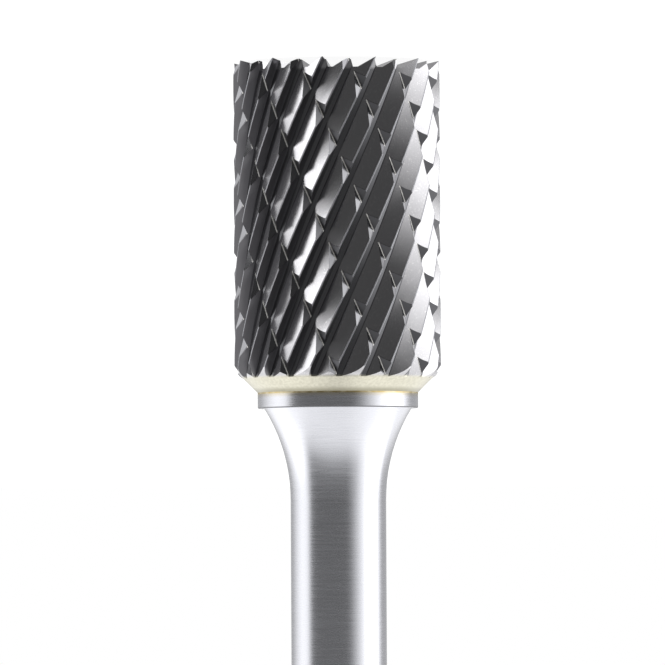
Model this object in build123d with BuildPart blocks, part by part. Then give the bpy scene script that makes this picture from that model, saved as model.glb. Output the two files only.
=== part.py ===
from build123d import *
from math import cos, radians, sin, tan
import os

# Carbide burr: a solid carbide head, ground with two crossing sets of helical cuts,
# brazed end to end onto a turned steel shank.
# It stands on the free end of its head, with its axis on Z and its shank upwards.
# All sizes are in millimetres and degrees.

# Carbide head
head_diameter = 13.0
head_length = 20.8
neck_diameter = 10.1  # small end of the neck cone, where the head is brazed
neck_angle = 45.0  # of the neck cone, from the axis
shoulder_radius = 1.2  # rounding between the teeth and the neck cone
shoulder_start = 18.0  # slope of that rounding where it leaves the teeth
shoulder_end = 62.0  # and where it meets the neck cone

# Main flutes: right-hand helix, every cutting edge facing clockwise
flute_count = 24
flute_lead = 84.5  # advance in one whole turn
flute_depth = 0.56
flute_land = 0.07  # narrow land left along each cutting edge
rake_lean = 15.0  # lean of the cutting face from the radius
gullet_width = 0.32  # floor of the flute, at the foot of the cutting face
flute_turn = 7.6  # where the first cutting edge meets the end of the head

# Chip-breaker cuts: left-hand helix across the flutes
breaker_count = 12
breaker_lead = 86.0
breaker_depth = 0.43
breaker_fore_width = 0.52  # flank on the side that the teeth face, round the head
breaker_aft_width = 0.72  # flank on the other side
breaker_turn = 23.4  # where the first cut meets the end of the head

# Free end of the head: gashes carry the teeth on over the rim, towards a hollow middle
gash_depth = 0.64
gash_land = 0.12  # narrow land left on each end tooth
gash_advance = 0.1  # of the end tooth's face, ahead of the flute's cutting edge
gash_lift = 0.02  # of the whole cut, so that its corners stay clear of the rim
end_hollow_angle = 14.0  # fall of the end teeth towards the middle
end_recess_diameter = 8.4
end_recess_depth = 0.8

# Braze seam between head and shank
braze_thickness = 0.1

# Steel shank
shank_diameter = 6.0
overall_length = 65.0
collar_diameter = 10.1
collar_height = 0.9
collar_edge_break = 0.06
flare_diameter = 9.26  # where the flare leaves the collar
flare_radius = 11.0
end_chamfer = 0.5

# What follows from the driving dimensions
head_radius = head_diameter / 2
neck_radius = neck_diameter / 2
shank_radius = shank_diameter / 2
recess_radius = end_recess_diameter / 2
tooth_angle = 360 / flute_count
tooth_pitch = radians(tooth_angle) * head_radius
cut_margin = 1.0  # how far the grinding cuts run on outside the carbide
cut_length = head_length + 2 * cut_margin
cut_start = Plane.XY.offset(-cut_margin)


def on_head(length, drop):
    """A point of the head's section: a length round its outside and a drop below it."""
    angle = length / head_radius
    radius = head_radius - drop
    return (radius * cos(angle), radius * sin(angle))


def on_rim(length, drop):
    """The same point unrolled: a length along the rim and a drop into the head."""
    return (length, -drop)


def saw_space(place, depth, land):
    """The space between two saw teeth: from one land down the back of the tooth to the
    gullet, then up the steep face of the next tooth, whose edge is at length zero."""
    land_end = land - tooth_pitch
    face_foot = -depth * tan(radians(rake_lean))
    with BuildSketch() as space:
        with BuildLine():
            Polyline(
                place(land_end, -cut_margin),
                place(land_end, 0),
                place(face_foot - gullet_width, depth),
                place(face_foot, depth),
                place(0, 0),
                place(0, -cut_margin),
                close=True,
            )
        make_face()
    return space.sketch


def notch_space():
    """The notch of a chip breaker, with its deepest line at zero."""
    with BuildSketch() as space:
        with BuildLine():
            Polyline(
                on_head(-breaker_fore_width, -cut_margin),
                on_head(-breaker_fore_width, 0),
                on_head(0, breaker_depth),
                on_head(breaker_aft_width, 0),
                on_head(breaker_aft_width, -cut_margin),
                close=True,
            )
        make_face()
    return space.sketch


def twist_guide(lead, lefthand=False):
    """The helix that turns a section as it climbs the axis."""
    with BuildLine() as guide:
        Helix(lead, cut_length, head_radius, (0, 0, -cut_margin), lefthand=lefthand)
    return guide.edges()[0]


def turned_back(turn, lead):
    """The turn of a cut at the start of its run, below the end of the head."""
    return turn - 360 * cut_margin / lead


with BuildLine() as cut_axis:
    Line((0, 0, -cut_margin), (0, 0, cut_length - cut_margin))

# The fluted bar: one toothed section, twisted along the axis
with BuildPart() as fluted_bar:
    with BuildSketch(cut_start):
        Circle(head_radius)
        with PolarLocations(0, flute_count, turned_back(flute_turn, flute_lead)):
            add(saw_space(on_head, flute_depth, flute_land), mode=Mode.SUBTRACT)
    sweep(path=cut_axis.edges()[0], binormal=twist_guide(flute_lead))

# The chip-breaker cuts, twisted the other way
with BuildPart() as breaker_cuts:
    with BuildSketch(cut_start):
        with PolarLocations(0, breaker_count, turned_back(breaker_turn, -breaker_lead)):
            add(notch_space())
    sweep(path=cut_axis.edges()[0], binormal=twist_guide(breaker_lead, lefthand=True))

# One gash across the rim of the free end, from outside the head to its hollow middle
with BuildPart() as end_gash:
    rim_plane = Plane((head_radius + cut_margin, 0, 0), x_dir=(0, 1, 0), z_dir=(-1, 0, 0))
    with BuildSketch(rim_plane):
        with Locations((-gash_advance, gash_lift)):
            add(saw_space(on_rim, gash_depth, gash_land))
    extrude(amount=head_radius - recess_radius + 2 * cut_margin)

# The head: a turned envelope with a hollow end, a rounded shoulder and a neck cone,
# filled by the fluted bar and then cut across
with BuildPart() as carbide_head:
    outer_radius = head_radius + cut_margin
    hollow_slope = tan(radians(end_hollow_angle))
    round_x = head_radius - shoulder_radius * cos(radians(shoulder_start))
    cone_x = round_x + shoulder_radius * cos(radians(shoulder_end))
    cone_z = head_length - (cone_x - neck_radius) / tan(radians(neck_angle))
    round_z = cone_z - shoulder_radius * sin(radians(shoulder_end))
    with BuildSketch(Plane.XZ):
        with BuildLine():
            Polyline(
                (0, head_length),
                (0, end_recess_depth),
                (recess_radius, end_recess_depth),
                (recess_radius, (head_radius - recess_radius) * hollow_slope),
                (outer_radius, -cut_margin * hollow_slope),
                (outer_radius, round_z),
                (round_x + shoulder_radius, round_z),
            )
            CenterArc((round_x, round_z), shoulder_radius, 0, shoulder_end)
            Polyline((cone_x, cone_z), (neck_radius, head_length), (0, head_length))
        make_face()
    revolve(axis=Axis.Z)
    with PolarLocations(0, flute_count, flute_turn):
        add(end_gash.part, mode=Mode.SUBTRACT)
    add(fluted_bar.part, mode=Mode.INTERSECT)
    add(breaker_cuts.part, mode=Mode.SUBTRACT)

# The braze seam: a thin disc of solder between the flat ends of head and shank
with BuildPart() as braze_joint:
    with BuildSketch(Plane.XY.offset(head_length)):
        Circle(neck_radius)
    extrude(amount=braze_thickness)

# The shank: collar, hollow-curved flare and ground cylinder, turned from one bar
with BuildPart() as steel_shank:
    collar_base = head_length + braze_thickness
    collar_top = collar_base + collar_height
    collar_radius = collar_diameter / 2
    flare_centre = shank_radius + flare_radius
    flare_reach = flare_radius**2 - (flare_centre - flare_diameter / 2) ** 2
    flare_end = collar_top + flare_reach**0.5
    with BuildSketch(Plane.XZ) as shank_section:
        with BuildLine():
            RadiusArc((flare_diameter / 2, collar_top), (shank_radius, flare_end), flare_radius)
            Polyline(
                (shank_radius, flare_end),
                (shank_radius, overall_length),
                (0, overall_length),
                (0, collar_base),
                (collar_radius, collar_base),
                (collar_radius, collar_top),
                (flare_diameter / 2, collar_top),
            )
        make_face()
        corners = shank_section.vertices()
        chamfer(corners.sort_by_distance((shank_radius, overall_length))[0], end_chamfer)
        chamfer(corners.sort_by_distance((collar_radius, collar_top))[0], collar_edge_break)
    revolve(axis=Axis.Z)

os.makedirs("parts", exist_ok=True)
for name, piece in (
    ("carbide_head", carbide_head),
    ("braze_joint", braze_joint),
    ("steel_shank", steel_shank),
):
    piece.part.label = name
    export_step(piece.part, f"parts/{name}.step")
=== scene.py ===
"""Carbide burr: materials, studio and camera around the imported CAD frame.

The burr stands on the free end of its head, at z = 0, with its axis on Z.
Lengths are in metres and angles in degrees.
"""

import math

import bpy
from mathutils import Matrix, Vector


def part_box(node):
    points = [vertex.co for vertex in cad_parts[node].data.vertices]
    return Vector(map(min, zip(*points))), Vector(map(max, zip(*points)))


MM = 0.001


# ---------------------------------------------------------------- node helpers


def new_tree(owner):
    """The empty node tree of a material or a world."""
    owner.use_nodes = True
    owner.node_tree.nodes.clear()
    return owner.node_tree


def add_node(tree, kind, settings=None, inputs=None):
    """A node with its settings, and its sockets set to a value or joined to an output."""
    node = tree.nodes.new("ShaderNode" + kind)
    for name, value in (settings or {}).items():
        setattr(node, name, value)
    for key, value in (inputs or {}).items():
        if isinstance(value, bpy.types.NodeSocket):
            tree.links.new(value, node.inputs[key])
        else:
            node.inputs[key].default_value = value
    return node


def calc(tree, operation, *values):
    """The output of one Math node."""
    return add_node(tree, "Math", {"operation": operation}, dict(enumerate(values))).outputs[0]


def smooth(tree, value, start, end, low=0.0, high=1.0):
    """A soft step from low, where value is start, to high, where it is end."""
    settings = {"interpolation_type": "SMOOTHSTEP", "clamp": True}
    inputs = {"Value": value, "From Min": start, "From Max": end, "To Min": low, "To Max": high}
    return add_node(tree, "MapRange", settings, inputs).outputs["Result"]


def band(tree, value, low, high, blur):
    """1 between low and high, 0 outside."""
    return calc(
        tree,
        "MULTIPLY",
        smooth(tree, value, low - blur, low),
        smooth(tree, value, high, high + blur, 1.0, 0.0),
    )


# The sockets of a Mix node go by number: 0 is the share, 2 and 3 are the two values,
# and 6 and 7 the two colours.


def blend_value(tree, share, first, second):
    """The first value where share is 0, the second where it is 1."""
    settings = {"data_type": "FLOAT", "clamp_factor": True}
    return add_node(tree, "Mix", settings, {0: share, 2: first, 3: second}).outputs[0]


def blend_color(tree, share, first, second):
    """The first colour where share is 0, the second where it is 1."""
    settings = {"data_type": "RGBA", "clamp_factor": True}
    return add_node(tree, "Mix", settings, {0: share, 6: first, 7: second}).outputs[2]


# ------------------------------------------------------------------- materials

WHITE = (1.0, 1.0, 1.0, 1.0)

# Turned steel, with fine marks that run round the shank, across Z
STEEL_COLOR = (0.60, 0.605, 0.64, 1.0)
STEEL_ROUGHNESS = (0.22, 0.3)
STEEL_ANISOTROPY = 0.55
ANISOTROPY_TURN = 0.25  # a quarter turn: the reflections are drawn out along the axis
MARK_SCALE = 500.0
MARK_STRETCH = 1 / 36
MARK_EDGES = (0.3, 0.7)
MARK_DEPTH = 0.001 * MM

# Straw tint left by the brazing heat, up to a height above the seam
TINT_COLOR = (0.56, 0.52, 0.44, 1.0)
TINT_RISE = (0.0, 0.3 * MM)

# Dull broken edge of the collar, by height above the seam and by radius
EDGE_COLOR = (0.17, 0.17, 0.18, 1.0)
EDGE_ROUGHNESS = 0.5
EDGE_RISE = (0.825 * MM, 0.84 * MM)
EDGE_RADIUS = (4.96 * MM, 4.985 * MM)

# Ground carbide with small bright flecks
CARBIDE_COLOR = (0.46, 0.455, 0.47, 1.0)
CARBIDE_ROUGHNESS = 0.2
FLECK_COLOR = (0.60, 0.595, 0.60, 1.0)
FLECK_SCALE = 9000.0
FLECK_EDGES = (0.56, 0.72)

# The two sets of helical cuts, as in the CAD source: the angle from cut to cut, the lead,
# and the angle of the first cut at the end of the head
FLUTE_HELIX = (15.0, 84.5 * MM, 7.6)
BREAKER_HELIX = (30.0, -86.0 * MM, 23.4)
BREAKER_DEPTH = 0.43 * MM
NEAR_FLANK = -0.52 * MM  # where the two flanks of a chip breaker meet the rim,
FAR_FLANK = 0.72 * MM  # off its deepest line

# Where the painted shade, the painted highlights and the worn edges on the cuts begin and end.
# A drop is a depth below the rim.
CUT_BLUR = 0.01 * MM
CUT_DROP = (0.66 * MM, 0.75 * MM)  # the deepest that the painted shade goes
CUT_ROUGHNESS = 0.3
FACE_SHADE_COLOR = (0.12, 0.118, 0.125, 1.0)  # painted shade on the cutting faces
FACE_WIDTH = 0.15 * MM  # of such a face, seen from outside the head
NEAR_FLANK_SHADE_COLOR = (0.08, 0.08, 0.085, 1.0)  # painted shade on the near flanks of the chip breakers
FAR_FLANK_SHADE_COLOR = (0.20, 0.20, 0.21, 1.0)  # and painted shade on the far flanks
FLANK_MATCH = (0.02 * MM, 0.035 * MM)  # how near a point has to be to a flank's slope
FLANK_BLUR = 0.02  # as a share of the flank's width
FLUTE_FLOOR_SHADE_COLOR = (0.17, 0.17, 0.18, 1.0)  # painted shade on the floors of the flutes
FLOOR_DROP = (0.53 * MM, 0.55 * MM)
END_CLEAR = (0.6 * MM, 0.8 * MM)  # height of the end teeth, which have no such floor
LINE_HIGHLIGHT_COLOR = (0.72, 0.71, 0.69, 1.0)  # a painted highlight along each chip breaker
LINE_REACH = (-0.02 * MM, 0.05 * MM)  # off its deepest line
LINE_FADE = 0.03 * MM  # below that line
LAND_COLOR = (0.36, 0.36, 0.38, 1.0)  # the worn cutting edges
LAND_DROP = (0.01 * MM, 0.03 * MM)
# Roughness of the worn cutting edges and of the painted highlight lines
WORN_AND_HIGHLIGHT_ROUGHNESS = 0.6

# Pale, grainy neck cone, by height from the seam
NECK_COLOR = (0.61, 0.59, 0.49, 1.0)
NECK_DARK = (0.52, 0.50, 0.41, 1.0)
NECK_ROUGHNESS = 0.33
NECK_RISE = (-1.05 * MM, -0.85 * MM)
GRAIN_SCALE = 6000.0
GRAIN_EDGES = (0.35, 0.65)
RING_COLOR = (0.36, 0.345, 0.27, 1.0)  # the darker ring beside the seam
RING_RISE = (-0.35 * MM, -0.05 * MM)

# Solder in two golds
BRAZE_COLOR = (0.50, 0.40, 0.20, 1.0)
BRAZE_PALE = (0.58, 0.51, 0.34, 1.0)  # where the solder ran thin
BRAZE_ROUGHNESS = (0.3, 0.45)
PATCH_SCALE = 1600.0
PATCH_EDGES = (0.4, 0.62)


def new_material(name):
    material = bpy.data.materials.new(name)
    return material, new_tree(material)


def finish_material(tree, shader):
    add_node(tree, "OutputMaterial", inputs={"Surface": shader.outputs[0]})


def finish_metal(tree, color, roughness, more=None):
    """A bare metal surface as the whole of the material."""
    inputs = {"Base Color": color, "Metallic": 1.0, "Roughness": roughness, **(more or {})}
    finish_material(tree, add_node(tree, "BsdfPrincipled", inputs=inputs))


def dress(node, material):
    node.data.materials.clear()
    node.data.materials.append(material)


def axial_place(tree):
    """The point's radius, its angle round the axis and its height."""
    point = add_node(tree, "TexCoord").outputs["Object"]
    x, y, z = add_node(tree, "SeparateXYZ", inputs={0: point}).outputs
    squares = calc(tree, "ADD", calc(tree, "MULTIPLY", x, x), calc(tree, "MULTIPLY", y, y))
    return calc(tree, "SQRT", squares), calc(tree, "ARCTAN2", y, x), z


def noise(tree, scale, stretch=1.0):
    """Noise from 0 to 1, drawn out along Z by stretch."""
    point = add_node(tree, "TexCoord").outputs["Object"]
    scales = (scale, scale, scale / stretch)
    place = add_node(tree, "VectorMath", {"operation": "MULTIPLY"}, {0: point, 1: scales})
    inputs = {"Vector": place.outputs[0], "Scale": 1.0, "Detail": 3.0, "Roughness": 0.6}
    return add_node(tree, "TexNoise", {"noise_dimensions": "3D"}, inputs).outputs[0]


def steel_material():
    material, tree = new_material("ground_steel")
    radius, _, height = axial_place(tree)
    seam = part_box("steel_shank")[0].z
    rise = calc(tree, "SUBTRACT", height, seam)
    tint = smooth(tree, rise, *TINT_RISE, 1.0, 0.0)
    color = blend_color(tree, tint, STEEL_COLOR, TINT_COLOR)
    marks = noise(tree, MARK_SCALE, MARK_STRETCH)
    roughness = smooth(tree, marks, *MARK_EDGES, *STEEL_ROUGHNESS)
    edge = calc(
        tree,
        "MULTIPLY",
        smooth(tree, rise, *EDGE_RISE),
        smooth(tree, radius, *EDGE_RADIUS),
    )
    along = add_node(tree, "Tangent", {"direction_type": "RADIAL", "axis": "Z"})
    relief = {"Strength": 1.0, "Distance": MARK_DEPTH, "Height": marks}
    finish_metal(
        tree,
        blend_color(tree, edge, color, EDGE_COLOR),
        blend_value(tree, edge, roughness, EDGE_ROUGHNESS),
        {
            "Anisotropic": STEEL_ANISOTROPY,
            "Anisotropic Rotation": ANISOTROPY_TURN,
            "Tangent": along.outputs[0],
            "Normal": add_node(tree, "Bump", inputs=relief).outputs[0],
        },
    )
    return material


def off_helix(tree, angle, height, rim, helix):
    """The length round the rim from the nearest line of a set of helical cuts."""
    pitch, lead, start = helix
    turn = calc(tree, "SUBTRACT", calc(tree, "DEGREES", angle), start)
    climb = calc(tree, "MULTIPLY", height, 360.0 / lead)
    wrapped = calc(tree, "WRAP", calc(tree, "SUBTRACT", turn, climb), pitch / 2, -pitch / 2)
    return calc(tree, "MULTIPLY", wrapped, math.radians(rim))


def breaker_flank(tree, off_breaker, drop, width):
    """1 on one flank of the chip breakers, which rises to the rim at a width: where shade is
    painted.
    """
    side = calc(tree, "DIVIDE", off_breaker, width)
    slope = calc(tree, "MULTIPLY_ADD", side, -BREAKER_DEPTH, BREAKER_DEPTH)
    off_slope = calc(tree, "ABSOLUTE", calc(tree, "SUBTRACT", drop, slope))
    on_slope = smooth(tree, off_slope, *FLANK_MATCH, 1.0, 0.0)
    return calc(tree, "MULTIPLY", on_slope, band(tree, side, 0.0, 1.0, FLANK_BLUR))


def breaker_line(tree, off_breaker, drop):
    """1 along the deepest line of the chip breakers, above the floors of the flutes: where a
    highlight is painted.
    """
    highlight_line = band(tree, off_breaker, *LINE_REACH, CUT_BLUR)
    above_floor = smooth(tree, drop, BREAKER_DEPTH, BREAKER_DEPTH + LINE_FADE, 1.0, 0.0)
    return calc(tree, "MULTIPLY", highlight_line, above_floor)


def flute_floor(tree, drop, height):
    """1 on the floors of the flutes, but not in the end teeth: where shade is painted."""
    floor = smooth(tree, drop, *FLOOR_DROP)
    return calc(tree, "MULTIPLY", floor, smooth(tree, height, *END_CLEAR))


def neck_finish(tree, rise):
    """The colour of the neck cone, and its share, which is 1 on the cone."""
    grain = smooth(tree, noise(tree, GRAIN_SCALE), *GRAIN_EDGES)
    color = blend_color(tree, grain, NECK_DARK, NECK_COLOR)
    color = blend_color(tree, smooth(tree, rise, *RING_RISE), color, RING_COLOR)
    return color, smooth(tree, rise, *NECK_RISE)


def carbide_material():
    """The ground carbide, with painted shade on the cutting faces, the chip breaker flanks and
    the flute floors, a painted highlight along each chip breaker, and worn cutting edges. Each
    is found from the radius, the height and the helices of the cuts."""
    material, tree = new_material("ground_carbide")
    radius, angle, height = axial_place(tree)
    _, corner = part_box("carbide_head")
    rim, seam = corner.x, corner.z
    drop = calc(tree, "SUBTRACT", rim, radius)
    off_flute = off_helix(tree, angle, height, rim, FLUTE_HELIX)
    off_breaker = off_helix(tree, angle, height, rim, BREAKER_HELIX)

    in_teeth = smooth(tree, drop, *CUT_DROP, 1.0, 0.0)
    # Painted shade on the cutting faces
    face_shade = band(tree, off_flute, -FACE_WIDTH, 0.0, CUT_BLUR)
    # Painted shade on the near flanks of the chip breakers
    near_flank_shade = breaker_flank(tree, off_breaker, drop, NEAR_FLANK)
    near_flank_shade_share = calc(tree, "MULTIPLY", near_flank_shade, in_teeth)
    cut_shade = calc(tree, "MULTIPLY", calc(tree, "MAXIMUM", face_shade, near_flank_shade), in_teeth)
    # Painted shade on the far flanks of the chip breakers
    far_flank_shade = breaker_flank(tree, off_breaker, drop, FAR_FLANK)
    # Painted shade on the floors of the flutes
    floor = calc(tree, "MULTIPLY", flute_floor(tree, drop, height), in_teeth)
    # A painted highlight along the deepest line of each chip breaker
    highlight_line = breaker_line(tree, off_breaker, drop)
    land = smooth(tree, drop, *LAND_DROP, 1.0, 0.0)
    neck_color, neck = neck_finish(tree, calc(tree, "SUBTRACT", height, seam))

    flecks = smooth(tree, noise(tree, FLECK_SCALE), *FLECK_EDGES)
    color = CARBIDE_COLOR
    # Colour layers: flecks, painted shade on the flanks, floors and cutting faces, worn lands,
    # a painted highlight on the breaker lines, and the neck
    for share, layer in (
        (flecks, FLECK_COLOR),
        (far_flank_shade, FAR_FLANK_SHADE_COLOR),
        (floor, FLUTE_FLOOR_SHADE_COLOR),
        (cut_shade, FACE_SHADE_COLOR),
        (near_flank_shade_share, NEAR_FLANK_SHADE_COLOR),
        (land, LAND_COLOR),
        (highlight_line, LINE_HIGHLIGHT_COLOR),
        (neck, neck_color),
    ):
        color = blend_color(tree, share, color, layer)

    roughness = CARBIDE_ROUGHNESS
    for share, layer in (
        (cut_shade, CUT_ROUGHNESS),
        (calc(tree, "MAXIMUM", land, highlight_line), WORN_AND_HIGHLIGHT_ROUGHNESS),
        (neck, NECK_ROUGHNESS),
    ):
        roughness = blend_value(tree, share, roughness, layer)

    finish_metal(tree, color, roughness)
    return material


def braze_material():
    material, tree = new_material("solder")
    patches = smooth(tree, noise(tree, PATCH_SCALE), *PATCH_EDGES)
    finish_metal(
        tree,
        blend_color(tree, patches, BRAZE_COLOR, BRAZE_PALE),
        blend_value(tree, patches, *BRAZE_ROUGHNESS),
    )
    return material


# ---------------------------------------------------------------------- studio

# A rise is an angle above the horizon. A turn is an angle round the axis: 0 in front,
# where the camera stands, and growing towards -X, which is the picture's right.

FRONT_DARK = (0.1, 0.21)  # the dark side of the room, from low down to level
FRONT_DARK_RISE = (-25.0, 15.0)
LAMP = 1.13  # the light high up in front
LAMP_RISE = (20.0, 34.0)
ZENITH_FALL = 0.45  # how much darker than that light it is straight above
ZENITH_RISE = (50.0, 86.0)
ROOM = (0.52, 1.42)  # the rest of the room, low down and high up
ROOM_RISE = (2.0, 20.0)
ROOM_TURN = (55.0, 110.0)  # where the front gives way to it, on either side

# The softbox on the picture's left and the one on its right: the sign of its turns, its
# strength, what multiplies that low down, and the turns where it comes in and fades out
SOFTBOXES = (
    (-1.0, 1.05, 2.2, (66.0, 84.0), (92.0, 155.0)),
    (1.0, 1.9, 1.4, (18.0, 88.0), (94.0, 130.0)),
)
BOX_LOW_RISE = (-26.0, -4.0)
BOX_HIGH_RISE = (18.0, 42.0)
BOX_HIGH_SHARE = 0.1  # what is left of either box high up


def studio_room(tree, turn, rise):
    """The brightness of a room that is dark in front and bright above."""
    lamp = calc(
        tree,
        "SUBTRACT",
        smooth(tree, rise, *LAMP_RISE, 0.0, LAMP),
        smooth(tree, rise, *ZENITH_RISE, 0.0, ZENITH_FALL),
    )
    front = calc(tree, "ADD", smooth(tree, rise, *FRONT_DARK_RISE, *FRONT_DARK), lamp)
    room = smooth(tree, rise, *ROOM_RISE, *ROOM)
    off_front = smooth(tree, calc(tree, "ABSOLUTE", turn), *ROOM_TURN)
    in_front = calc(tree, "SUBTRACT", 1.0, off_front)
    return calc(
        tree,
        "ADD",
        calc(tree, "MULTIPLY", front, in_front),
        calc(tree, "MULTIPLY", room, off_front),
    )


def softbox(tree, turn, rise, sign, strength, low_gain, fade_in, fade_out):
    """The brightness of one softbox, which stands upright beside the burr."""
    side = calc(tree, "MULTIPLY", turn, sign)
    across = calc(
        tree,
        "MULTIPLY",
        smooth(tree, side, *fade_in, 0.0, strength),
        smooth(tree, side, *fade_out, 1.0, 0.0),
    )
    upright = calc(
        tree,
        "MULTIPLY",
        smooth(tree, rise, *BOX_HIGH_RISE, 1.0, BOX_HIGH_SHARE),
        smooth(tree, rise, *BOX_LOW_RISE, low_gain, 1.0),
    )
    return calc(tree, "MULTIPLY", across, upright)


def studio_world():
    """The room and its softboxes, and plain white where the camera looks past the burr."""
    world = bpy.data.worlds.new("studio")
    bpy.context.scene.world = world
    tree = new_tree(world)
    direction = add_node(tree, "TexCoord").outputs["Generated"]
    x, y, z = add_node(tree, "SeparateXYZ", inputs={0: direction}).outputs
    right, ahead = calc(tree, "MULTIPLY", x, -1.0), calc(tree, "MULTIPLY", y, -1.0)
    turn = calc(tree, "DEGREES", calc(tree, "ARCTAN2", right, ahead))
    rise = calc(tree, "DEGREES", calc(tree, "ARCSINE", z))
    total = studio_room(tree, turn, rise)
    for box in SOFTBOXES:
        total = calc(tree, "ADD", total, softbox(tree, turn, rise, *box))

    seen = add_node(tree, "LightPath").outputs["Is Camera Ray"]
    inputs = {"Color": WHITE, "Strength": blend_value(tree, seen, total, 1.0)}
    background = add_node(tree, "Background", inputs=inputs)
    add_node(tree, "OutputWorld", inputs={"Surface": background.outputs[0]})


FLOOR_HALF = 2.0
FLOOR_GAP = 0.02 * MM  # keeps the floor clear of the tips of the teeth
FLOOR_GLOW = 1.1
FLOOR_SHADE = 0.2  # the share of the floor's white that takes the burr's shadow


def studio_floor():
    """A white floor that takes a faint shadow. Only the camera sees it."""
    mesh = bpy.data.meshes.new("floor")
    corners = [(-1, -1), (1, -1), (1, 1), (-1, 1)]
    points = [(x * FLOOR_HALF, y * FLOOR_HALF, -FLOOR_GAP) for x, y in corners]
    mesh.from_pydata(points, [], [(0, 1, 2, 3)])
    floor = bpy.data.objects.new("floor", mesh)
    bpy.context.scene.collection.objects.link(floor)
    material, tree = new_material("white_floor")
    glow = add_node(tree, "Emission", inputs={"Color": WHITE, "Strength": FLOOR_GLOW})
    paint = add_node(tree, "BsdfDiffuse", inputs={"Color": WHITE})
    layers = {0: FLOOR_SHADE, 1: glow.outputs[0], 2: paint.outputs[0]}
    finish_material(tree, add_node(tree, "MixShader", inputs=layers))
    dress(floor, material)
    floor.visible_glossy = False
    floor.visible_diffuse = False
    floor.visible_shadow = False


# ---------------------------------------------------------------------- camera

CAMERA_PLACE = Vector((0.322 * MM, -598.0 * MM, 34.67 * MM))
CAMERA_TARGET = Vector((0.322 * MM, 0.0, 17.02 * MM))
PICTURE_TOP = Vector((0.0, 0.0, -1.0))  # the burr is shown with its head up
CAMERA_LENS = 515.0
CAMERA_LEAN = -0.28
CAMERA_CLIP = (0.01, 20.0)


def photo_camera():
    """A long lens that looks at the side of the burr, turned so that its head is up."""
    data = bpy.data.cameras.new("camera")
    data.lens = CAMERA_LENS
    data.clip_start, data.clip_end = CAMERA_CLIP
    camera = bpy.data.objects.new("camera", data)
    bpy.context.scene.collection.objects.link(camera)
    ahead = (CAMERA_TARGET - CAMERA_PLACE).normalized()
    right = ahead.cross(PICTURE_TOP).normalized()
    up = right.cross(ahead)
    turn = Matrix((right, up, -ahead)).transposed()
    lean = Matrix.Rotation(math.radians(CAMERA_LEAN), 3, "Z")
    camera.matrix_world = Matrix.Translation(CAMERA_PLACE) @ (turn @ lean).to_4x4()
    bpy.context.scene.camera = camera


# ------------------------------------------------------------------------ main

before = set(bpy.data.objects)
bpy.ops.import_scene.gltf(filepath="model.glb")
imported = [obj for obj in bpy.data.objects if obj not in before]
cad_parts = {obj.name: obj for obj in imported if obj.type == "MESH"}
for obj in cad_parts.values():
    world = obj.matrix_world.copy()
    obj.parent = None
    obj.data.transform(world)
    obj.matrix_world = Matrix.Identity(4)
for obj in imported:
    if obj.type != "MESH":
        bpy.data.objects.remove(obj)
bpy.context.view_layer.update()

dress(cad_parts["carbide_head"], carbide_material())
dress(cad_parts["braze_joint"], braze_material())
dress(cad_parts["steel_shank"], steel_material())

studio_world()
studio_floor()
photo_camera()
bpy.context.scene.view_settings.view_transform = "Standard"

bpy.context.view_layer.update()
